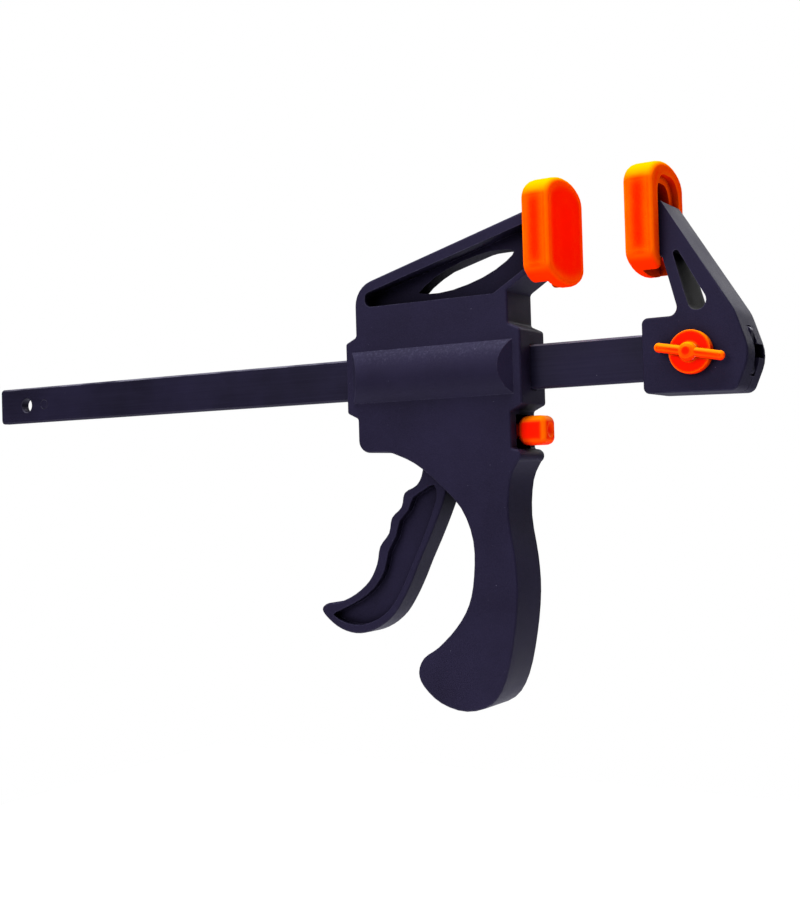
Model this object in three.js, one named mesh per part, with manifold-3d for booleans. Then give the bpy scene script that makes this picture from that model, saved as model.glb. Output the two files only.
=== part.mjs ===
// One-hand bar clamp: a flat steel bar with a fixed jaw pinned to its end, and a housing
// that is sliding jaw, body and grip in one moulding, driven along the bar by a trigger.
// Millimetres, +Z up. X runs along the bar towards the fixed jaw and Y is the thickness.
// While it is drawn, Z = 0 is the bar's centre line and the fixed pad's face is at FACE_X.
// finish() then moves everything so that the origin is the centre of that face.
import * as THREE from 'three';
import { mergeVertices } from 'three/addons/utils/BufferGeometryUtils.js';
import Module from 'manifold-3d';

const wasm = await Module();
wasm.setup();

// ---- Driving dimensions ----
const GAP = 0.3;                  // between pieces that touch on the real clamp
const FIT = 0.06;                 // round a pin that turns in a hole

const BAR_LENGTH = 330.6;
const BAR_HEIGHT = 15;
const BAR_THICKNESS = 4;
const BAR_EDGE = 0.7;
const BAR_CORNER = 1.6;
const BAR_END_X = 37.4;
const BAR_START_X = BAR_END_X - BAR_LENGTH;
const HOLE_INSET = 16;
const DOWEL_RADIUS = 2.9;
const DOWEL_HOLE_RADIUS = 3.1;
const STOP_PIN_RADIUS = 1.9;
const STOP_PIN_X = BAR_START_X + HOLE_INSET + 10.5;
const STOP_PIN_REACH = 5;         // how far it stands behind the bar's centre plane

const FACE_X = 2.2;               // the fixed pad's clamping face
const THROAT = 44;                // bar's centre line to the middle of the pads
const JAW_GAP = 25.7;             // between the two pads as posed
const PAD_WIDTH = 29.2;
const PAD_HEIGHT = 36.2;
const PAD_DEPTH = 9.8;
const PAD_TOP_ARCH = 7.8;
const PAD_BOTTOM_ARCH = 6.6;
const PAD_EDGE = 1.9;
const PAD_SLOT = { front: 3.6, halfWidth: 8, corner: 2.5 };
const POCKET_MOUTH = { halfWidth: 9.6, low: -13.4, high: 13.4, depth: 2.2 };
const POCKET_WELL = { halfWidth: 6.5, low: -11.5, high: 11.2, depth: 6.2 };
const TONGUE_TOP = 5;             // above the middle of the pad

const JAW_THICKNESS = 19;
const JAW_TIP_THICKNESS = 16.8;
const DOWEL_X = BAR_END_X - HOLE_INSET;

const BODY_THICKNESS = 19;
const BODY_EDGE = 1;
const BODY_LEFT = -102.2;
const BODY_RIGHT = -41.6;
const COLLAR_REACH = 4.4;
const COLLAR_HALF = 12.5;
const SHOULDER_HALF = 14.6;
const RIB_RADIUS = 12.5;
const RIB_CREST_Y = 13.5;
const ARM_END_X = FACE_X - JAW_GAP - PAD_DEPTH - GAP;

const SPRING_WALL_X = -98.5;      // inner face that the drive spring stands on
const WEB_LEFT_X = -60;
const WEB_RIGHT_X = -56.5;
const CHAMBER_RIGHT_X = -45;
const CHAMBER_HALF_Y = 6.9;
const CHAMBER_HALF_Z = 15;
const TRIGGER_ROOM = { left: -83, right: -61.2, low: -70, high: -14 };
const BRAKE_ROOM = { low: -27.4, high: 10 };
const BRAKE_SEAT = { left: -53, right: -48.2, low: 9, high: 15.2 };
const TRIGGER_SLACK = 0.4;        // on each side of the trigger
const BUTTON_SLACK = 0.5;         // on each side of the button

const TRIGGER_THICKNESS = 10.4;
const PIVOT_X = -74;
const PIVOT_Z = -22;
const PIVOT_RADIUS = 2;
const NOSE_RADIUS = 3;
const NOSE_Z = -11;
const PLATE = 3;                  // thickness of the drive and brake plates
const DRIVE_FACE_X = -79.2;       // the face that the trigger's nose pushes
const DRIVE_COIL_RADIUS = 8.9;    // to the middle of the spring's wire

const BRAKE_X = -50.5;            // the brake plate rocks on its top end here
const BRAKE_Z = 13;
const BRAKE_TILT = THREE.MathUtils.degToRad(5);
const BUTTON = { left: -42, right: -31.4, low: -26.3, high: -16.4, halfWidth: 4.7 };
const STEM = { left: -50, low: -23.8, high: -18.8, halfWidth: 3.6 };

// ---- Outline and solid helpers ----
const ARC_STEP = 13;              // degrees between the points of a rounded corner

const v2 = (x, y) => new THREE.Vector2(x, y);

// Points of an outline through corners [x, y, radius], each rounded by an arc of its radius.
function rounded(corners) {
  const points = [];
  corners.forEach(([x, y, radius = 0], i) => {
    const [px, py] = corners[(i + corners.length - 1) % corners.length];
    const [nx, ny] = corners[(i + 1) % corners.length];
    const corner = v2(x, y);
    const back = v2(px, py).sub(corner).normalize();
    const ahead = v2(nx, ny).sub(corner).normalize();
    const half = Math.acos(THREE.MathUtils.clamp(back.dot(ahead), -1, 1)) / 2;
    if (radius === 0 || Math.PI / 2 - half < 0.02) {
      points.push(corner);
      return;
    }
    const centre = back.clone().add(ahead).normalize();
    centre.multiplyScalar(radius / Math.sin(half)).add(corner);
    const reach = radius / Math.tan(half);
    const from = back.multiplyScalar(reach).add(corner).sub(centre);
    const to = ahead.multiplyScalar(reach).add(corner).sub(centre);
    const sweep = Math.atan2(from.cross(to), from.dot(to));
    const steps = Math.max(2, Math.ceil(Math.abs(sweep) / THREE.MathUtils.degToRad(ARC_STEP)));
    for (let k = 0; k <= steps; k += 1) {
      const turned = from.clone().rotateAround(v2(0, 0), (sweep * k) / steps);
      points.push(turned.add(centre));
    }
  });
  return points;
}

// Points of a smooth curve through the given [x, y] pairs.
function smooth(pairs, perSpan = 3) {
  const curve = new THREE.SplineCurve(pairs.map(([x, y]) => v2(x, y)));
  return curve.getPoints((pairs.length - 1) * perSpan);
}

const rectangle = (x0, x1, y0, y1, radius = 0) => rounded([
  [x0, y0, radius], [x1, y0, radius], [x1, y1, radius], [x0, y1, radius]]);

function toSolid(geometry) {
  const bare = new THREE.BufferGeometry();
  bare.setAttribute('position', geometry.getAttribute('position'));
  if (geometry.index) bare.setIndex(geometry.index);
  const merged = mergeVertices(bare, 1e-4);
  return new wasm.Manifold(new wasm.Mesh({
    numProp: 3,
    vertProperties: new Float32Array(merged.getAttribute('position').array),
    triVerts: new Uint32Array(merged.index.array),
  }));
}

// A prism with its edges rounded (or chamfered, with one step), centred on its drawing plane.
function prism(points, thickness, edge = 0, steps = 2) {
  const geometry = new THREE.ExtrudeGeometry(new THREE.Shape(points), {
    depth: thickness - 2 * edge,
    steps: 1,
    bevelEnabled: edge > 0,
    bevelThickness: edge,
    bevelSize: edge,
    bevelOffset: -edge,
    bevelSegments: steps,
  });
  geometry.translate(0, 0, -thickness / 2 + edge);
  return geometry;
}

// The outline is drawn in X and Z, and the prism runs along Y.
function alongY(points, thickness, { edge = 0, steps = 2, y = 0 } = {}) {
  return toSolid(prism(points, thickness, edge, steps).rotateX(Math.PI / 2).translate(0, y, 0));
}

// The outline is drawn in Y and Z, and the prism runs along X from x0 to x1.
function alongX(points, x0, x1, { edge = 0, steps = 2 } = {}) {
  const turn = new THREE.Matrix4().makeBasis(
    new THREE.Vector3(0, 1, 0), new THREE.Vector3(0, 0, 1), new THREE.Vector3(1, 0, 0));
  const geometry = prism(points, x1 - x0, edge, steps).applyMatrix4(turn);
  return toSolid(geometry.translate((x0 + x1) / 2, 0, 0));
}

function box(x0, x1, y0, y1, z0, z1) {
  const geometry = new THREE.BoxGeometry(x1 - x0, y1 - y0, z1 - z0);
  return toSolid(geometry.translate((x0 + x1) / 2, (y0 + y1) / 2, (z0 + z1) / 2));
}

// A turned piece round a line along Y through (x, z), from [radius, y] profile points.
function turned(profile, x, z, sides = 32) {
  const geometry = new THREE.LatheGeometry(profile.map(([r, y]) => v2(r, y)), sides);
  return toSolid(geometry.translate(x, 0, z));
}

const rod = (x, z, radius, y0, y1, sides = 32) => turned(
  [[0, y0], [radius, y0], [radius, y1], [0, y1]], x, z, sides);

class Helix extends THREE.Curve {
  constructor(x0, x1, z, radius, turns) {
    super();
    Object.assign(this, { x0, x1, z, radius, turns });
  }

  getPoint(t) {
    const angle = t * this.turns * 2 * Math.PI;
    return new THREE.Vector3(
      this.x0 + (this.x1 - this.x0) * t,
      this.radius * Math.cos(angle),
      this.z + this.radius * Math.sin(angle));
  }
}

// A compression spring along X, its wire centre line from x0 to x1.
function coil(x0, x1, z, radius, turns, wireRadius) {
  const wire = rounded([0, 1, 2, 3, 4, 5, 6, 7].map((k) => [
    wireRadius * Math.cos((k * Math.PI) / 4), wireRadius * Math.sin((k * Math.PI) / 4)]));
  const geometry = new THREE.ExtrudeGeometry(new THREE.Shape(wire), {
    steps: turns * 18,
    bevelEnabled: false,
    extrudePath: new Helix(x0, x1, z, radius, turns),
  });
  return toSolid(geometry);
}

const group = new THREE.Group();

const MATERIALS = {
  nylon: { color: 0x23222e, roughness: 0.55, metalness: 0 },
  softOrange: { color: 0xff4d10, roughness: 0.5, metalness: 0 },
  hardOrange: { color: 0xff5a12, roughness: 0.4, metalness: 0 },
  blackSteel: { color: 0x24252b, roughness: 0.45, metalness: 0.8 },
  brightSteel: { color: 0x9a9ca0, roughness: 0.35, metalness: 0.95 },
};

function finish(name, solid, look) {
  const mesh = solid.getMesh();
  const geometry = new THREE.BufferGeometry();
  geometry.setAttribute('position', new THREE.Float32BufferAttribute(mesh.vertProperties, 3));
  geometry.setIndex(new THREE.Uint32BufferAttribute(mesh.triVerts, 1));
  const flat = geometry.toNonIndexed();
  flat.translate(-FACE_X, 0, -THROAT);
  flat.computeVertexNormals();
  const part = new THREE.Mesh(flat, new THREE.MeshStandardMaterial(MATERIALS[look]));
  part.name = name;
  group.add(part);
}

// ---- Bar and its stop pin ----
function bar() {
  const side = rectangle(BAR_START_X, BAR_END_X, -BAR_HEIGHT / 2, BAR_HEIGHT / 2, BAR_CORNER);
  return alongY(side, BAR_THICKNESS, { edge: BAR_EDGE, steps: 1 })
    .subtract(rod(DOWEL_X, 0, DOWEL_HOLE_RADIUS, -5, 5))
    .subtract(rod(BAR_START_X + HOLE_INSET, 0, DOWEL_HOLE_RADIUS, -5, 5))
    .subtract(rod(STOP_PIN_X, 0, STOP_PIN_RADIUS + 0.1, -5, 5, 24));
}

function stopPin() {
  const front = -BAR_THICKNESS / 2;
  const chamfer = 0.4;
  return turned([
    [0, front], [STOP_PIN_RADIUS, front],
    [STOP_PIN_RADIUS, STOP_PIN_REACH - chamfer], [STOP_PIN_RADIUS - chamfer, STOP_PIN_REACH],
    [0, STOP_PIN_REACH]], STOP_PIN_X, 0, 24);
}

// The bar's passage through a moulding, a little larger than the bar.
function barPassage(x0, x1) {
  const halfY = BAR_THICKNESS / 2 + GAP;
  const halfZ = BAR_HEIGHT / 2 + GAP;
  return box(x0, x1, -halfY, halfY, -halfZ, halfZ);
}

// ---- Soft pads: one cap, used on both jaws, drawn with its face at X = 0 ----
// An outline with straight sides, and half an ellipse at the top and at the bottom.
function archedOutline(halfWidth, low, high, topArch, bottomArch, steps = 14) {
  const half = (centre, arch, from) => Array.from({ length: steps + 1 }, (_, k) => {
    const angle = from + (Math.PI * k) / steps;
    return v2(halfWidth * Math.cos(angle), centre + arch * Math.sin(angle));
  });
  return [
    ...half(high - topArch, topArch, 0),
    ...half(low + bottomArch, bottomArch, Math.PI),
  ];
}

function pad() {
  const halfHeight = PAD_HEIGHT / 2;
  const outside = archedOutline(PAD_WIDTH / 2, -halfHeight, halfHeight, PAD_TOP_ARCH, PAD_BOTTOM_ARCH);
  // Each step of the pocket is arched at the top and nearly square at the bottom.
  const cut = ({ halfWidth: half, low, high, depth }, arch) => alongX(
    rounded([[-half, low, 1], [half, low, 1], [half, high, arch], [-half, high, arch]]),
    PAD_DEPTH - depth, PAD_DEPTH + 1);
  // The bottom wall is open behind the face, where the jaw comes out.
  const { front, halfWidth: half, corner } = PAD_SLOT;
  const slot = alongX(rounded([
    [-half, -halfHeight - 1], [half, -halfHeight - 1], [half, POCKET_MOUTH.low + 1, corner],
    [-half, POCKET_MOUTH.low + 1, corner]]), front, PAD_DEPTH + 1);
  return alongX(outside, 0, PAD_DEPTH, { edge: PAD_EDGE, steps: 4 })
    .subtract(cut(POCKET_MOUTH, 7))
    .subtract(cut(POCKET_WELL, 5))
    .subtract(slot);
}

// The tongue of a jaw that fills the lower part of a pad's inner well.
function padTongue() {
  const { halfWidth, low, depth } = POCKET_WELL;
  const outline = rectangle(-halfWidth + GAP, halfWidth - GAP, low + GAP, TONGUE_TOP, 1.5);
  return alongX(outline, PAD_DEPTH - depth + GAP, PAD_DEPTH - POCKET_MOUTH.depth + 1);
}

const onFixedJaw = (solid) => solid.translate([FACE_X, 0, THROAT]);
const onSlidingJaw = (solid) => solid.rotate([0, 0, 180]).translate([FACE_X - JAW_GAP, 0, THROAT]);

// ---- Fixed jaw ----
const JAW_SLOT_LOW = { x: 23.3, z: 15.9, radius: 3 };
const JAW_SLOT_TIP = { x: 17, z: 31.2, radius: 1 };

// A teardrop: two circles joined by their outer tangents.
function teardrop(low, tip) {
  const axis = v2(tip.x - low.x, tip.z - low.z);
  const lean = Math.acos((low.radius - tip.radius) / axis.length());
  const points = [];
  const arc = (end, from, to, steps) => {
    for (let k = 0; k <= steps; k += 1) {
      const angle = axis.angle() + from + ((to - from) * k) / steps;
      points.push(v2(end.x + end.radius * Math.cos(angle), end.z + end.radius * Math.sin(angle)));
    }
  };
  arc(tip, -lean, lean, 4);
  arc(low, lean, 2 * Math.PI - lean, 12);
  return points;
}

function fixedJaw() {
  const mouthX = FACE_X + PAD_DEPTH - POCKET_MOUTH.depth + GAP;
  const outline = rounded([
    [5.1, -12, 2], [34.9, -12.6, 3], [39.5, -1.5, 12], [35, 12, 14],
    [mouthX, 51.9, 1.4], [mouthX, 31, 1.1], [12.4, 31, 1], [17.4, 11.8, 2.6],
    [5.1, 11.8, 2]]);
  // The arm thins evenly from the bar block up to the tip.
  const blockTop = 12;
  const tip = 52;
  const taper = alongX([
    v2(-JAW_THICKNESS / 2, -20), v2(JAW_THICKNESS / 2, -20), v2(JAW_THICKNESS / 2, blockTop),
    v2(JAW_TIP_THICKNESS / 2, tip), v2(-JAW_TIP_THICKNESS / 2, tip),
    v2(-JAW_THICKNESS / 2, blockTop)], 0, 50);
  const stopPinGroove = box(0, 50, 0, JAW_THICKNESS / 2 - 1.9, -2.2, 2.2);
  // The mould's parting groove, round the heel and along the bottom.
  const groove = alongY(outline, 0.5, { y: 0.9 })
    .subtract(alongY(outline, 2, { y: 0.9 }).translate([-0.6, 0, 0.7]))
    .intersect(box(32, 60, 0, 2, -20, -8.5));
  return alongY(outline, JAW_THICKNESS, { edge: 0.9, steps: 3 })
    .intersect(taper)
    .add(onFixedJaw(padTongue()))
    .subtract(groove)
    .subtract(alongY(teardrop(JAW_SLOT_LOW, JAW_SLOT_TIP), 30))
    .subtract(barPassage(0, 50))
    .subtract(stopPinGroove)
    .subtract(rod(DOWEL_X, 0, DOWEL_HOLE_RADIUS, -20, 20));
}

// ---- Jaw pin: a steel dowel with a winged knob on its front end ----
const KNOB_BACK_Y = -JAW_THICKNESS / 2 - GAP;
const KNOB_DISC = { radius: 6.8, thickness: 2.6 };
const KNOB_TURN = 11;             // degrees that its wings are turned, right end down

function dowel() {
  const back = JAW_THICKNESS / 2 - 0.4;
  const front = KNOB_BACK_Y - 3.4;
  const chamfer = 0.6;
  return turned([
    [0, front], [DOWEL_RADIUS, front], [DOWEL_RADIUS, back - chamfer],
    [DOWEL_RADIUS - chamfer, back], [0, back]], DOWEL_X, 0);
}

// A bent rod through the boss, its round ends sloping back towards the jaw.
function wing(face) {
  const radius = 1.45;
  const span = 9.8;
  const bend = [[-span, 0.2], [-span / 2, -1], [0, -1.4], [span / 2, -1], [span, 0.2]];
  const path = new THREE.CatmullRomCurve3(bend.map(([x, y]) => new THREE.Vector3(x, face + y, 0)));
  const section = new THREE.Shape(new THREE.EllipseCurve(0, 0, radius, radius).getPoints(16).slice(1));
  const blade = toSolid(new THREE.ExtrudeGeometry(section, {
    steps: 20, bevelEnabled: false, extrudePath: path }));
  const tip = (side) => toSolid(new THREE.SphereGeometry(radius + 0.06, 20, 12))
    .translate([side * span, face + 0.2, 0]);
  return blade.add(tip(-1)).add(tip(1)).rotate([0, KNOB_TURN, 0]).translate([DOWEL_X, 0, 0]);
}

function knob() {
  const face = KNOB_BACK_Y - KNOB_DISC.thickness;
  const edge = 0.8;
  const disc = turned([
    [0, face], [KNOB_DISC.radius - edge, face], [KNOB_DISC.radius - edge / 4, face + edge / 4],
    [KNOB_DISC.radius, face + edge], [KNOB_DISC.radius, KNOB_BACK_Y], [0, KNOB_BACK_Y]],
    DOWEL_X, 0, 48);
  const top = face - 3.2;
  const boss = turned([
    [0, top], [1.4, top], [2.3, top + 0.4], [2.8, top + 1.3], [3.1, face + 0.5], [0, face + 0.5]],
    DOWEL_X, 0);
  return disc.add(boss).add(wing(face))
    .subtract(rod(DOWEL_X, 0, DOWEL_RADIUS + FIT, KNOB_BACK_Y - 3.5, 0));
}

// ---- Housing: sliding jaw, body and grip ----
function housingOutline() {
  const armTop = 51.3;
  const grip = smooth([
    [-39.4, -31.8], [-42.4, -38], [-43.4, -50], [-41.4, -64], [-40.9, -76], [-42.6, -90],
    [-46.2, -104.5], [-51.8, -112.8], [-61.6, -115.9], [-71.4, -113.7], [-78.2, -108.3],
    [-80.1, -103.4], [-77.9, -98.4], [-72, -94.5], [-64.6, -87.4], [-59.6, -79.6],
    [-57.4, -70], [-57.3, -58], [-61.6, -46.9], [-70.6, -37.9], [-79.6, -31.1], [-88.4, -27.3]], 3);
  return [
    ...rounded([
      [-94, -26.8], [BODY_LEFT, -26.8, 4.5], [BODY_LEFT, -SHOULDER_HALF, 1.2],
      [BODY_LEFT - COLLAR_REACH, -COLLAR_HALF, 1.2], [BODY_LEFT - COLLAR_REACH, COLLAR_HALF, 1.2],
      [BODY_LEFT, SHOULDER_HALF, 1.2], [BODY_LEFT, 32.3, 9], [ARM_END_X, armTop],
      [ARM_END_X, 30.6], [BODY_RIGHT, 25.6, 1.5], [BODY_RIGHT, SHOULDER_HALF, 1.2],
      [BODY_RIGHT + COLLAR_REACH, COLLAR_HALF, 1.2], [BODY_RIGHT + COLLAR_REACH, -COLLAR_HALF, 1.2],
      [BODY_RIGHT, -SHOULDER_HALF, 1.2], [BODY_RIGHT, -27.3, 0.9], [-34.7, -28.1, 2.3],
      [-39.4, -31.8]]),
    ...grip.slice(1),
    v2(-90.6, -26.9),
  ];
}

// The hollow in both sides of the arm, under its slanted flange and open towards the pad.
function armRecess() {
  const floorHalf = 3.2;
  const depth = BODY_THICKNESS / 2 - floorHalf + 1;
  const open = ARM_END_X + 5;
  const outline = rounded([
    [-97.8, 24.8, 2.4], [-46.6, 24.8, 1.5], [ARM_END_X - 1.6, 31.6, 0], [open, 31.6, 0],
    [open, 48.5, 0], [-97.8, 29.7, 2]]);
  const one = (side) => alongY(outline, depth, { y: side * (floorHalf + depth / 2) });
  return one(1).add(one(-1));
}

// The lens-shaped window: two bowed edges that meet at a sharp left tip and a blunt right one.
function armWindow() {
  const length = 38.6;
  const width = 8.4;
  const tilt = THREE.MathUtils.degToRad(15.6);
  const centre = v2(-60.6, 33.9);
  const bow = (t) => (width / 2) * (Math.max(0, 1 - (2 * t) ** 2) ** 0.85);
  const blunt = 0.7;
  const upper = [-0.5, -0.42, -0.3, -0.16, 0, 0.16, 0.3, 0.42, 0.49].map(
    (t) => v2(t * length, bow(t) + (t > 0 ? blunt * 2 * t : 0)));
  const lower = [0.49, 0.42, 0.3, 0.16, 0, -0.16, -0.3, -0.42].map(
    (t) => v2(t * length, -bow(t) - (t > 0 ? blunt * 2 * t : 0)));
  const tip = v2(0.5 * length + 0.6, 0);
  const place = (p) => p.clone().rotateAround(v2(0, 0), tilt).add(centre);
  return alongY([...upper, tip, ...lower].map(place).reverse(), 30);
}

// Round ribs along the bar on both sides, which make room for the drive spring. Each is
// a slice of a cylinder with slanted ends.
function rib(side) {
  const left = BODY_LEFT - 1.6;
  const right = BODY_RIGHT + 1.6;
  const slant = RIB_CREST_Y - BODY_THICKNESS / 2;
  const section = new THREE.EllipseCurve(0, 0, RIB_RADIUS, RIB_RADIUS).getPoints(56).slice(1);
  const barrel = alongX(section, left, right).translate([0, side * (RIB_CREST_Y - RIB_RADIUS), 0]);
  const fromAbove = new THREE.Shape([
    v2(left, 5), v2(left, BODY_THICKNESS / 2), v2(left + slant, RIB_CREST_Y),
    v2(left + slant, RIB_CREST_Y + 1), v2(right - slant, RIB_CREST_Y + 1),
    v2(right - slant, RIB_CREST_Y), v2(right, BODY_THICKNESS / 2), v2(right, 5)].reverse());
  const ends = toSolid(new THREE.ExtrudeGeometry(fromAbove, { depth: 40, bevelEnabled: false })
    .translate(0, 0, -20));
  return barrel.intersect(side > 0 ? ends : ends.rotate([180, 0, 0]));
}

function housing() {
  const chamber = box(SPRING_WALL_X, WEB_LEFT_X, -CHAMBER_HALF_Y, CHAMBER_HALF_Y,
    -CHAMBER_HALF_Z, CHAMBER_HALF_Z);
  const springRoomRadius = DRIVE_COIL_RADIUS + 1.2;
  const springRoom = alongX(
    new THREE.EllipseCurve(0, 0, springRoomRadius, springRoomRadius).getPoints(28).slice(1),
    SPRING_WALL_X, WEB_LEFT_X);
  const triggerHalf = TRIGGER_THICKNESS / 2 + TRIGGER_SLACK;
  const triggerRoom = box(TRIGGER_ROOM.left, TRIGGER_ROOM.right, -triggerHalf, triggerHalf,
    TRIGGER_ROOM.low, TRIGGER_ROOM.high);
  const brakeRoom = box(WEB_RIGHT_X, CHAMBER_RIGHT_X, -CHAMBER_HALF_Y, CHAMBER_HALF_Y,
    BRAKE_ROOM.low, BRAKE_ROOM.high);
  const brakeSeat = box(BRAKE_SEAT.left, BRAKE_SEAT.right, -CHAMBER_HALF_Y, CHAMBER_HALF_Y,
    BRAKE_SEAT.low, BRAKE_SEAT.high);
  const doorHalf = BUTTON.halfWidth + BUTTON_SLACK;
  const buttonDoor = box(CHAMBER_RIGHT_X - 1, BODY_RIGHT + 5, -doorHalf, doorHalf,
    BUTTON.low - 1, BUTTON.high + 0.7);
  const tongueRoot = alongX(
    rectangle(-8.4, 8.4, 31, 51.8, 3.5), ARM_END_X - 0.2, ARM_END_X + POCKET_MOUTH.depth);
  return alongY(housingOutline(), BODY_THICKNESS, { edge: BODY_EDGE, steps: 3 })
    .subtract(armRecess())
    .subtract(armWindow())
    .add(rib(1))
    .add(rib(-1))
    .add(tongueRoot)
    .add(onSlidingJaw(padTongue()))
    .subtract(barPassage(BODY_LEFT - 10, BODY_RIGHT + 10))
    .subtract(chamber)
    .subtract(springRoom)
    .subtract(triggerRoom)
    .subtract(brakeRoom)
    .subtract(brakeSeat)
    .subtract(buttonDoor)
    .subtract(rod(PIVOT_X, PIVOT_Z, PIVOT_RADIUS + FIT, -8.2, 8.2, 24));
}

// ---- Trigger and its pivot pin ----
function trigger() {
  const noseX = DRIVE_FACE_X + GAP + NOSE_RADIUS;
  const nose = [140, 95, 50, 5].map((degrees) => {
    const angle = THREE.MathUtils.degToRad(degrees);
    return [noseX + NOSE_RADIUS * Math.cos(angle), NOSE_Z + NOSE_RADIUS * Math.sin(angle)];
  });
  const lever = smooth([
    ...nose, [-69.4, -19], [-67.6, -28], [-69.4, -41], [-75, -54], [-80.6, -64.8],
    [-83.8, -71.4], [-87.5, -78], [-92, -84.2], [-98, -88.7], [-104.6, -91.1], [-110.6, -91.2],
    [-116.6, -89.2], [-121.8, -85.2], [-122.9, -82.6], [-120.2, -80.8], [-115.2, -80.3],
    [-108.3, -77.3], [-102.2, -72.4], [-98.8, -66.4], [-97.3, -60.2], [-93.4, -55.4],
    [-92, -50], [-87.9, -46.2], [-86.4, -41.2], [-81.4, -38.6], [-78.8, -33.5], [-79, -24],
    [-79, -14]], 3);
  const recess = smooth([
    [-78.4, -40.4], [-82.8, -43], [-84.9, -47.4], [-88.6, -51.2], [-90.2, -56.4], [-93.6, -62],
    [-95.4, -68.6], [-100, -74.9], [-106.8, -79.6], [-114, -82.9], [-118, -85], [-112.4, -87.8],
    [-105.2, -88.2], [-98, -85.6], [-92.8, -81.4], [-88.6, -75.4], [-84.4, -67.4], [-78.6, -56],
    [-73.4, -43.6], [-74.2, -38.6], [-78.4, -40.4]], 2).slice(0, -1);
  const webHalf = 2.2;
  const depth = TRIGGER_THICKNESS / 2 - webHalf + 1;
  const hollow = (side) => alongY(recess, depth, { y: side * (webHalf + depth / 2) });
  return alongY(lever, TRIGGER_THICKNESS, { edge: 0.7 })
    .subtract(hollow(1))
    .subtract(hollow(-1))
    .subtract(rod(PIVOT_X, PIVOT_Z, PIVOT_RADIUS + FIT, -10, 10, 24));
}

const pivotPin = () => rod(PIVOT_X, PIVOT_Z, PIVOT_RADIUS, -8, 8, 24);

// ---- Drive plates and springs ----
function drivePlate(rightFaceX) {
  const outside = rectangle(-6.4, 6.4, -14, 12.5, 1.5);
  const slack = 0.45;
  const halfY = BAR_THICKNESS / 2 + slack;
  const halfZ = BAR_HEIGHT / 2 + slack;
  return alongX(outside, rightFaceX - PLATE, rightFaceX, { edge: 0.2, steps: 1 })
    .subtract(box(rightFaceX - 5, rightFaceX + 5, -halfY, halfY, -halfZ, halfZ));
}

function driveSpring() {
  const wireRadius = 0.6;
  const plateX = DRIVE_FACE_X - 2 * PLATE - GAP;
  const seat = wireRadius + 0.2;
  return coil(SPRING_WALL_X + seat, plateX - seat, 0, DRIVE_COIL_RADIUS, 4.5, wireRadius);
}

// ---- Brake plate, its spring and the release button ----
function brakePlate() {
  const slack = 0.7;
  const blade = alongX(
    rectangle(-6.4, 6.4, -27.8, 1.5, 1.2), -PLATE / 2, PLATE / 2, { edge: 0.2, steps: 1 });
  const tail = alongX(rectangle(-2.8, 2.8, -37, -25, 1), -PLATE / 2, PLATE / 2);
  const window = box(-5, 5, -BAR_THICKNESS / 2 - 0.45, BAR_THICKNESS / 2 + 0.45,
    -BRAKE_Z - BAR_HEIGHT / 2 - slack, -BRAKE_Z + BAR_HEIGHT / 2 + slack);
  return blade.add(tail).subtract(window)
    .rotate([0, -THREE.MathUtils.radToDeg(BRAKE_TILT), 0])
    .translate([BRAKE_X, 0, BRAKE_Z]);
}

// A rounded block outside the housing, on a narrower stem that carries the brake plate's tail.
function button() {
  const { left, right, low, high, halfWidth } = BUTTON;
  const side = rounded([[left, low, 3.6], [right, low, 2.7], [right, high, 2.7], [left, high, 3.6]]);
  const ends = alongX(rectangle(-halfWidth, halfWidth, low, high, 2.8), left - 1, right + 1);
  const block = alongY(side, 2 * halfWidth, { edge: 2.4, steps: 5 }).intersect(ends);
  const stem = alongX(
    rectangle(-STEM.halfWidth, STEM.halfWidth, STEM.low, STEM.high, 1.5), STEM.left, left + 3);
  const socket = box(-PLATE / 2 - 0.1, PLATE / 2 + 0.1, -2.9, 2.9, -37.2, -20)
    .rotate([0, -THREE.MathUtils.radToDeg(BRAKE_TILT), 0])
    .translate([BRAKE_X, 0, BRAKE_Z]);
  const dishRadius = 5.6;
  const thumbDish = toSolid(new THREE.SphereGeometry(dishRadius, 28, 20))
    .translate([right + dishRadius - 0.7, 0, (low + high) / 2]);
  return block.add(stem).subtract(socket).subtract(thumbDish);
}

const brakeSpring = () => coil(WEB_RIGHT_X + 0.6, -50.9, -12.1, 2.5, 4, 0.4);

finish('bar', bar(), 'blackSteel');
finish('bar_stop_pin', stopPin(), 'blackSteel');
finish('fixed_jaw', fixedJaw(), 'nylon');
finish('fixed_jaw_pad', onFixedJaw(pad()), 'softOrange');
finish('jaw_pin_dowel', dowel(), 'brightSteel');
finish('jaw_pin_knob', knob(), 'hardOrange');
finish('housing', housing(), 'nylon');
finish('sliding_jaw_pad', onSlidingJaw(pad()), 'softOrange');
finish('trigger', trigger(), 'nylon');
finish('trigger_pivot_pin', pivotPin(), 'brightSteel');
finish('drive_plate_right', drivePlate(DRIVE_FACE_X), 'brightSteel');
finish('drive_plate_left', drivePlate(DRIVE_FACE_X - PLATE - GAP), 'brightSteel');
finish('drive_spring', driveSpring(), 'brightSteel');
finish('brake_plate', brakePlate(), 'brightSteel');
finish('brake_spring', brakeSpring(), 'brightSteel');
finish('release_button', button(), 'hardOrange');

export default group;
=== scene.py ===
"""Looks of the one-hand bar clamp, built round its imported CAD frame. Metres, +Z up."""

import math

import bmesh
import bpy
from mathutils import Matrix, Vector


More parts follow.
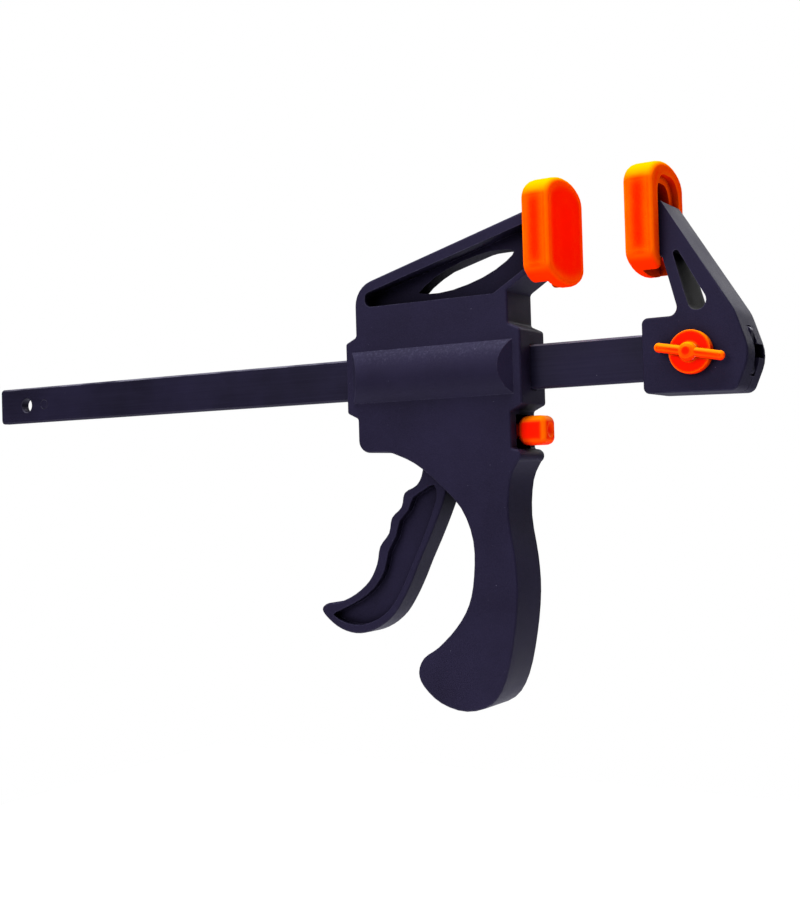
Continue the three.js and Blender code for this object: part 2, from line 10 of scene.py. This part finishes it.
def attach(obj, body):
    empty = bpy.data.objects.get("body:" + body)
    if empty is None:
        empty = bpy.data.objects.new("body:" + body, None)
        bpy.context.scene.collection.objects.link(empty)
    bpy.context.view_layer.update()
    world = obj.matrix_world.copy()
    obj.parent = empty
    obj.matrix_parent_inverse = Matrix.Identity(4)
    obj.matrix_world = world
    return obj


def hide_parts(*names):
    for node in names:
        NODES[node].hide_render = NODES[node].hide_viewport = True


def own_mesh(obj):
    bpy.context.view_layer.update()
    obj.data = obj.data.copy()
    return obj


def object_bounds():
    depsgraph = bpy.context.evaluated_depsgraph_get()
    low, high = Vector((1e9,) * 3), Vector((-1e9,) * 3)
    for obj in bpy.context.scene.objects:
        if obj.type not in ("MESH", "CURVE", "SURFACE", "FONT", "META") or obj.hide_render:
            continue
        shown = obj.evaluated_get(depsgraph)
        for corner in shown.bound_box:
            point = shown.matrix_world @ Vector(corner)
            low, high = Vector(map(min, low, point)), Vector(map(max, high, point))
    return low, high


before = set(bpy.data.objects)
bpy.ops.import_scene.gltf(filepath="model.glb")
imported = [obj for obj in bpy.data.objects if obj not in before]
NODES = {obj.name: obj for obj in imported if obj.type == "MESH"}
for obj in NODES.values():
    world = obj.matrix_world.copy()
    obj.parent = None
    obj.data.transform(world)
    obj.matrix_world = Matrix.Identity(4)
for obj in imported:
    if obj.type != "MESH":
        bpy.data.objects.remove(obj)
CAD_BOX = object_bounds()
MM = 0.001

# ---- Settings shared by every finished piece ----
MERGE_MM = 0.002            # corners closer than this are one corner
FLAT_DEGREES = 0.7          # neighbouring facets closer than this are one flat face
SHARP_DEGREES = 24          # edges sharper than this are broken by a bevel
BEVEL_SEGMENTS = 3
FLAT_FACE_WEIGHT = 80       # how strongly large faces hold their own shading

# ---- Camera: the reference picture's viewing angle ----
CAMERA_PLACE = Vector((0.15425, -0.4023, -0.0811))
CAMERA_AZIMUTH = math.radians(31.57)
CAMERA_PITCH = math.radians(1.05)
CAMERA_ROLL = math.radians(-1.63)
CAMERA_LENS = 52.07


def make_camera():
    data = bpy.data.cameras.new("camera")
    data.lens = CAMERA_LENS
    data.sensor_width = 36
    data.clip_start = 0.01
    camera = bpy.data.objects.new("camera", data)
    bpy.context.scene.collection.objects.link(camera)
    turn = Matrix.Rotation(CAMERA_AZIMUTH, 4, "Z")
    tilt = Matrix.Rotation(math.pi / 2 + CAMERA_PITCH, 4, "X")
    roll = Matrix.Rotation(CAMERA_ROLL, 4, "Z")
    camera.matrix_world = Matrix.Translation(CAMERA_PLACE) @ turn @ tilt @ roll
    bpy.context.scene.camera = camera


# ---- Material helpers ----
MIX_A = 6                   # places of a Mix node's two colour inputs and of its colour output
MIX_B = 7
MIX_RESULT = 2


class Nodes:
    """A material's node tree, with short calls for the nodes that the materials share."""

    def __init__(self, name):
        self.material = bpy.data.materials.new(name)
        self.material.use_nodes = True
        self.tree = self.material.node_tree
        self.shader = self.tree.nodes["Principled BSDF"]

    def add(self, kind, **settings):
        node = self.tree.nodes.new(kind)
        for name, value in settings.items():
            setattr(node, name, value)
        return node

    def link(self, out, into):
        self.tree.links.new(out, into)

    def millimetres(self, stretch=(1, 1, 1)):
        """The surface's own place in millimetres, stretched along its axes."""
        place = self.add("ShaderNodeTexCoord")
        mapping = self.add("ShaderNodeMapping")
        mapping.inputs["Scale"].default_value = [s / MM for s in stretch]
        self.link(place.outputs["Object"], mapping.inputs["Vector"])
        return mapping.outputs["Vector"]

    def noise(self, per_mm, detail=3.0, stretch=(1, 1, 1), rough=0.55):
        texture = self.add("ShaderNodeTexNoise")
        texture.inputs["Scale"].default_value = per_mm
        texture.inputs["Detail"].default_value = detail
        texture.inputs["Roughness"].default_value = rough
        self.link(self.millimetres(stretch), texture.inputs["Vector"])
        return texture.outputs["Fac"]

    def ramp(self, value, *stops):
        """Stops are (position, colour) pairs."""
        node = self.add("ShaderNodeValToRGB")
        elements = node.color_ramp.elements
        while len(elements) < len(stops):
            elements.new(0.5)
        for element, (position, colour) in zip(elements, stops):
            element.position = position
            element.color = (*colour, 1)
        self.link(value, node.inputs["Fac"])
        return node.outputs["Color"]

    def span(self, value, low_in, high_in, low_out, high_out):
        """The value, moved from one range to another and held inside it."""
        node = self.add("ShaderNodeMapRange")
        for name, number in zip(("From Min", "From Max", "To Min", "To Max"),
                                (low_in, high_in, low_out, high_out)):
            node.inputs[name].default_value = number
        self.link(value, node.inputs["Value"])
        return node.outputs["Result"]

    def mix(self, factor, a, b):
        """Colour a, turning to b as the factor goes from 0 to 1."""
        node = self.add("ShaderNodeMix", data_type="RGBA")
        sockets = (node.inputs["Factor"], node.inputs[MIX_A], node.inputs[MIX_B])
        for socket, value in zip(sockets, (factor, a, b)):
            if isinstance(value, bpy.types.NodeSocket):
                self.link(value, socket)
            elif isinstance(value, (int, float)):
                socket.default_value = value
            else:
                socket.default_value = (*value, 1)
        return node.outputs[MIX_RESULT]

    def math(self, operation, a, b=0.0):
        node = self.add("ShaderNodeMath", operation=operation, use_clamp=True)
        for socket, value in zip(node.inputs, (a, b)):
            if isinstance(value, bpy.types.NodeSocket):
                self.link(value, socket)
            else:
                socket.default_value = value
        return node.outputs[0]

    def edges(self, radius_mm, low=0.02, high=0.25):
        """1 along the piece's convex and concave edges, 0 on its flat stretches."""
        soft = self.add("ShaderNodeBevel", samples=6)
        soft.inputs["Radius"].default_value = radius_mm * MM
        true = self.add("ShaderNodeNewGeometry")
        dot = self.add("ShaderNodeVectorMath", operation="DOT_PRODUCT")
        self.link(soft.outputs["Normal"], dot.inputs[0])
        self.link(true.outputs["Normal"], dot.inputs[1])
        return self.span(dot.outputs["Value"], 1 - low, 1 - high, 0, 1)

    def facing(self):
        """The X, Y and Z of the piece's own surface normal."""
        face = self.add("ShaderNodeTexCoord")
        parts = self.add("ShaderNodeSeparateXYZ")
        self.link(face.outputs["Normal"], parts.inputs[0])
        return parts.outputs

    def rounding(self):
        """0 on flats that face along X or Y, 1 well inside the rounded edges between them."""
        parts = self.facing()
        along_x = self.math("ABSOLUTE", parts["X"])
        along_y = self.math("ABSOLUTE", parts["Y"])
        squarest = self.math("MAXIMUM", along_x, along_y)
        return self.span(squarest, 1.0, 0.86, 0, 1)

    def painted_hollow_shade(self, reach_mm):
        """A mask for painted shade: 1 deep inside a slot or pocket, 0 on open surfaces."""
        shade = self.add("ShaderNodeAmbientOcclusion", samples=8)
        shade.inputs["Distance"].default_value = reach_mm * MM
        return self.span(shade.outputs["AO"], 0.25, 0.8, 1, 0)

    def bump(self, *layers):
        """Layers are (height, depth in mm, strength): each is laid over the one before."""
        normal = None
        for height, depth_mm, strength in layers:
            node = self.add("ShaderNodeBump")
            node.inputs["Distance"].default_value = depth_mm * MM
            node.inputs["Strength"].default_value = strength
            self.link(height, node.inputs["Height"])
            if normal:
                self.link(normal, node.inputs["Normal"])
            normal = node.outputs["Normal"]
        self.link(normal, self.shader.inputs["Normal"])

    def set(self, **values):
        for name, value in values.items():
            self.shader.inputs[name.replace("_", " ")].default_value = value


# ---- Materials ----
def moulded_nylon():
    """Near-black blue nylon with a fine spark-eroded grain, lighter edges that are part wear and
    part painted highlight, painted top light on upward faces and painted shade in slots and
    pockets.
    """
    m = Nodes("moulded_nylon")
    grain = m.noise(2.6, 4)
    cloud = m.noise(0.05, 3)
    specks = m.noise(0.9, 2, rough=0.7)
    body = m.ramp(cloud, (0.3, (0.0098, 0.0074, 0.022)), (0.7, (0.0148, 0.0116, 0.033)))
    grained = m.mix(m.span(grain, 0.35, 0.75, 0, 0.35), body, (0.024, 0.02, 0.042))
    dusty = m.mix(m.span(specks, 0.76, 0.8, 0, 0.5), grained, (0.3, 0.28, 0.38))
    # Lighter edges: part wear, part painted edge highlight.
    worn_and_highlit_edges = m.math("MULTIPLY", m.edges(0.5), m.span(m.noise(0.35, 4), 0.35, 0.65, 0.15, 0.75))
    # Painted top light: upward faces lighter, in patches.
    upward = m.span(m.facing()["Z"], 0.2, 0.7, 0, 0.55)
    top_light_patches = m.math("MULTIPLY", upward, m.span(m.noise(1.1, 4, rough=0.8), 0.5, 0.66, 0, 1))
    with_top_light_patches = m.mix(top_light_patches, dusty, (0.06, 0.056, 0.1))
    rubbed_and_highlit = m.mix(worn_and_highlit_edges, with_top_light_patches, (0.11, 0.1, 0.16))
    # Painted shade: near-black and less glossy deep in slots and pockets.
    shade_in_hollows = m.painted_hollow_shade(16)
    m.link(m.mix(shade_in_hollows, rubbed_and_highlit, (0.002, 0.0015, 0.004)), m.shader.inputs["Base Color"])
    m.link(m.span(shade_in_hollows, 0, 1, 0.12, 0.02), m.shader.inputs["Specular IOR Level"])
    m.link(m.span(cloud, 0.3, 0.7, 0.52, 0.62), m.shader.inputs["Roughness"])
    m.bump((m.noise(0.12, 2), 0.12, 0.25), (m.noise(0.9, 4), 0.06, 0.6), (grain, 0.06, 0.8))
    m.set(Specular_Tint=(0.74, 0.7, 1.0, 1))
    return m.material


def orange(name, roughness, gloss, grain_per_mm, grain_depth, rim_mm, flat, edge, top):
    """Fluorescent orange: red on flats; orange along edges as painted highlight, weaker on faces
    that look down; yellow on upward faces as painted top light; dark red in pockets as painted
    shade; a constant red emission as a painted glow for the fluorescent look, off in pockets.
    """
    m = Nodes(name)
    grain = m.noise(grain_per_mm, 3)
    cloud = m.noise(0.06, 3)
    body = m.mix(m.span(cloud, 0.3, 0.7, 0, 0.5), flat, [c * 0.9 for c in flat])
    upward = m.facing()["Z"]
    # Painted highlight: orange along edges and roundings, weaker on faces that look down.
    edge_highlight = m.math("MAXIMUM", m.edges(rim_mm, 0.0, 0.05), m.rounding())
    edge_highlight = m.math("MULTIPLY", edge_highlight, m.span(upward, -0.8, -0.2, 0.15, 1))
    with_edge_highlight = m.mix(m.math("MULTIPLY", edge_highlight, m.span(m.noise(0.2, 3), 0.3, 0.7, 0.75, 1)), body, edge)
    # Painted top light: yellow on upward faces.
    yellow_top_light = m.mix(m.span(upward, 0.15, 0.85, 0, 0.9), with_edge_highlight, top)
    # Painted shade: dark red deep in pockets.
    shade_in_hollows = m.painted_hollow_shade(9)
    m.link(m.mix(shade_in_hollows, yellow_top_light, (0.1, 0.0, 0.0)), m.shader.inputs["Base Color"])
    # Painted glow: a constant red emission on open surfaces for the fluorescent look, off in
    # pockets.
    m.link(m.span(shade_in_hollows, 0, 1, 0.22, 0.0), m.shader.inputs["Emission Strength"])
    patchy = m.span(cloud, 0.3, 0.7, roughness - 0.06, roughness + 0.06)
    m.link(patchy, m.shader.inputs["Roughness"])
    m.bump((m.noise(0.15, 2), 0.15, 0.25), (grain, grain_depth, 0.5))
    m.set(Specular_IOR_Level=gloss, Emission_Color=(1, 0.008, 0, 1))
    return m.material


def soft_orange():
    """Satin elastomer of the pads."""
    # edge is the painted edge highlight colour, top the painted top light colour.
    return orange(
        "soft_orange_elastomer", roughness=0.6, gloss=0.0, grain_per_mm=3.2, grain_depth=0.03,
        rim_mm=6.5, flat=(1.0, 0.008, 0.0), edge=(1.0, 0.17, 0.0), top=(1.0, 0.38, 0.0))


def hard_orange():
    """Smooth moulded plastic of the knob and the release button."""
    # edge is the painted edge highlight colour, top the painted top light colour.
    return orange(
        "hard_orange_plastic", roughness=0.42, gloss=0.012, grain_per_mm=1.8, grain_depth=0.015,
        rim_mm=1.1, flat=(1.0, 0.008, 0.0), edge=(1.0, 0.17, 0.0), top=(1.0, 0.3, 0.0))


def black_oxide_steel():
    """Drawn flat bar, blackened, with fine lines along it, lighter edges that are part wear and
    part painted highlight, and a patchy painted highlight along its upper edge.
    """
    m = Nodes("black_oxide_steel")
    lines = m.noise(1.6, 4, (0.02, 1, 1))
    cloud = m.noise(0.03, 4)
    patches = m.noise(0.5, 4, (0.12, 1, 1))
    specks = m.noise(0.9, 2, rough=0.7)
    body = m.ramp(cloud, (0.3, (0.0074, 0.006, 0.015)), (0.7, (0.0135, 0.0106, 0.031)))
    drawn = m.mix(m.span(lines, 0.35, 0.75, 0, 0.22), body, (0.028, 0.025, 0.05))
    dusty = m.mix(m.span(specks, 0.76, 0.8, 0, 0.4), drawn, (0.3, 0.28, 0.38))
    # Lighter edges: part wear, part painted highlight.
    worn_and_highlit_edges = m.math("MULTIPLY", m.edges(0.5, 0.01, 0.2), m.span(patches, 0.4, 0.65, 0.05, 0.4))
    # Painted highlight on upward faces, in patches.
    upward = m.span(m.facing()["Z"], 0.35, 0.6, 0, 1)
    top_highlight_patches = m.math("MULTIPLY", upward, m.span(patches, 0.4, 0.62, 0.1, 0.8))
    rubbed_and_highlit = m.math("MAXIMUM", worn_and_highlit_edges, top_highlight_patches)
    m.link(m.mix(rubbed_and_highlit, dusty, (0.17, 0.16, 0.2)), m.shader.inputs["Base Color"])
    m.link(m.span(cloud, 0.3, 0.7, 0.4, 0.5), m.shader.inputs["Roughness"])
    m.bump((cloud, 0.06, 0.2), (lines, 0.015, 0.4))
    m.set(Metallic=0.15, Specular_IOR_Level=0.14, Specular_Tint=(0.8, 0.76, 1.0, 1))
    return m.material


def bright_steel():
    """Ground steel of the pins, plates and springs, with a thin film of oil."""
    m = Nodes("bright_steel")
    lines = m.noise(2.4, 4, (1, 1, 0.08))
    cloud = m.noise(0.3, 3)
    tone = m.ramp(cloud, (0.3, (0.56, 0.56, 0.57)), (0.7, (0.78, 0.78, 0.77)))
    m.link(tone, m.shader.inputs["Base Color"])
    m.link(m.span(lines, 0.3, 0.7, 0.24, 0.42), m.shader.inputs["Roughness"])
    m.bump((lines, 0.012, 0.5))
    m.set(Metallic=0.6)
    return m.material


# ---- Pieces ----
def refined(node, name, bevel_mm):
    """A finished copy of a CAD node: flat faces whole, sharp edges broken, smooth shading."""
    mesh = NODES[node].data.copy()
    mesh.name = name
    form = bmesh.new()
    form.from_mesh(mesh)
    bmesh.ops.remove_doubles(form, verts=form.verts, dist=MERGE_MM * MM)
    bmesh.ops.dissolve_limit(
        form, angle_limit=math.radians(FLAT_DEGREES), verts=form.verts, edges=form.edges,
        use_dissolve_boundaries=False)
    for face in form.faces:
        face.smooth = True
    form.to_mesh(mesh)
    form.free()
    mesh.materials.clear()
    piece = bpy.data.objects.new(name, mesh)
    bpy.context.scene.collection.objects.link(piece)
    bevel = piece.modifiers.new("broken_edges", "BEVEL")
    bevel.width = bevel_mm * MM
    bevel.segments = BEVEL_SEGMENTS
    bevel.limit_method = "ANGLE"
    bevel.angle_limit = math.radians(SHARP_DEGREES)
    bevel.use_clamp_overlap = True
    bevel.miter_outer = "MITER_ARC"
    flat = piece.modifiers.new("flat_faces_stay_flat", "WEIGHTED_NORMAL")
    flat.mode = "FACE_AREA"
    flat.weight = FLAT_FACE_WEIGHT
    return piece


# Node: name of the finished piece, its body, material slot and broken edge in millimetres.
PIECES = {
    "bar": ("flat_bar", "bar_and_fixed_jaw", "black_steel", 0.12),
    "bar_stop_pin": ("stop_pin", "bar_and_fixed_jaw", "black_steel", 0.1),
    "fixed_jaw": ("fixed_jaw_moulding", "bar_and_fixed_jaw", "nylon", 0.35),
    "fixed_jaw_pad": ("fixed_jaw_cap", "bar_and_fixed_jaw", "soft_orange", 0.5),
    "jaw_pin_dowel": ("steel_dowel", "jaw_dowel", "bright_steel", 0.12),
    "jaw_pin_knob": ("winged_knob", "jaw_knob", "hard_orange", 0.2),
    "housing": ("housing_moulding", "housing", "nylon", 0.35),
    "sliding_jaw_pad": ("sliding_jaw_cap", "housing", "soft_orange", 0.5),
    "trigger": ("trigger_lever", "trigger", "nylon", 0.3),
    "trigger_pivot_pin": ("pivot_pin", "housing", "bright_steel", 0.15),
    "drive_plate_right": ("right_drive_plate", "drive_plates", "bright_steel", 0.12),
    "drive_plate_left": ("left_drive_plate", "drive_plates", "bright_steel", 0.12),
    "drive_spring": ("drive_coil", "housing", "bright_steel", 0.05),
    "brake_plate": ("brake_lever_plate", "brake", "bright_steel", 0.12),
    "brake_spring": ("brake_coil", "housing", "bright_steel", 0.05),
    "release_button": ("thumb_button", "brake", "hard_orange", 0.3),
}

# Node: the joint that shortens the coil, where it stands along X in millimetres, and what is left.
COILS = {
    "drive_spring": ("drive_plates_slide", -100.7, 0.66),
    "brake_spring": ("brake_release", -58.7, 0.6),
}

# Material slot of the record: the material that its pieces take.
MATERIALS = {
    "nylon": moulded_nylon(),
    "soft_orange": soft_orange(),
    "hard_orange": hard_orange(),
    "black_steel": black_oxide_steel(),
    "bright_steel": bright_steel(),
}


def make_pieces():
    for node, (name, body, slot, bevel_mm) in PIECES.items():
        piece = refined(node, name, bevel_mm)
        piece.data.materials.append(MATERIALS[slot])
        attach(piece, body)
        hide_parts(node)
        if node in COILS:
            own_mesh(piece)


# ---- Studio ----
FLOOR_DROP = 0.14
FLOOR_SIZE = 0.95
FLOOR_CENTRE_X = -0.1
BACKDROP = 1.0              # brightness of the world where the camera sees it
AMBIENT = 0.17              # brightness of the world as light
LIGHTS_AIM = (-0.06, 0, -0.03)

# Name: place, size, watts and colour.
LIGHTS = {
    "overhead": ((-0.1, -0.15, 0.75), 0.7, 14, (0.92, 0.94, 1)),
    "front_fill": ((-0.35, -0.9, 0.35), 0.6, 4, (1, 1, 1)),
    "right_rim": ((0.8, -0.1, 0.45), 0.5, 0.3, (1, 1, 1)),
    "back_rim": ((0.1, 0.9, 0.4), 0.6, 2.2, (1, 1, 1)),
}


def make_floor():
    level = CAD_BOX[0][2] - FLOOR_DROP
    bpy.ops.mesh.primitive_plane_add(size=FLOOR_SIZE, location=(FLOOR_CENTRE_X, 0, level))
    floor = bpy.context.object
    floor.name = "studio_floor"
    m = Nodes("pale_floor")
    tone = m.ramp(m.noise(0.004, 3), (0.3, (0.9, 0.9, 0.9)), (0.7, (0.94, 0.94, 0.94)))
    m.link(tone, m.shader.inputs["Base Color"])
    m.set(Roughness=0.9, Specular_IOR_Level=0.1)
    m.set(Emission_Color=(1, 1, 1, 1), Emission_Strength=0.3)
    floor.data.materials.append(m.material)


def make_world():
    """White where the camera sees it, and dimmer as light, so that dark plastic stays dark."""
    world = bpy.data.worlds.new("studio")
    bpy.context.scene.world = world
    world.use_nodes = True
    tree = world.node_tree
    seen = tree.nodes["Background"]
    seen.inputs["Strength"].default_value = BACKDROP
    seen.inputs["Color"].default_value = (1, 1, 1, 1)
    lit = tree.nodes.new("ShaderNodeBackground")
    lit.inputs["Color"].default_value = (0.93, 0.95, 1, 1)
    lit.inputs["Strength"].default_value = AMBIENT
    path = tree.nodes.new("ShaderNodeLightPath")
    mix = tree.nodes.new("ShaderNodeMixShader")
    tree.links.new(path.outputs["Is Camera Ray"], mix.inputs["Fac"])
    tree.links.new(lit.outputs["Background"], mix.inputs[1])
    tree.links.new(seen.outputs["Background"], mix.inputs[2])
    tree.links.new(mix.outputs["Shader"], tree.nodes["World Output"].inputs["Surface"])


def area_light(name, place, size, watts, colour):
    data = bpy.data.lights.new(name, "AREA")
    data.shape = "DISK"
    data.size = size
    data.energy = watts
    data.color = colour
    light = bpy.data.objects.new(name, data)
    aim = Vector(LIGHTS_AIM) - Vector(place)
    turn = aim.to_track_quat("-Z", "Y").to_matrix().to_4x4()
    light.matrix_world = Matrix.Translation(place) @ turn
    bpy.context.scene.collection.objects.link(light)


def make_lights():
    for name, (place, size, watts, colour) in LIGHTS.items():
        area_light(name, place, size, watts, colour)


make_camera()
make_pieces()
make_floor()
make_world()
make_lights()
bpy.context.scene.view_settings.view_transform = "Standard"
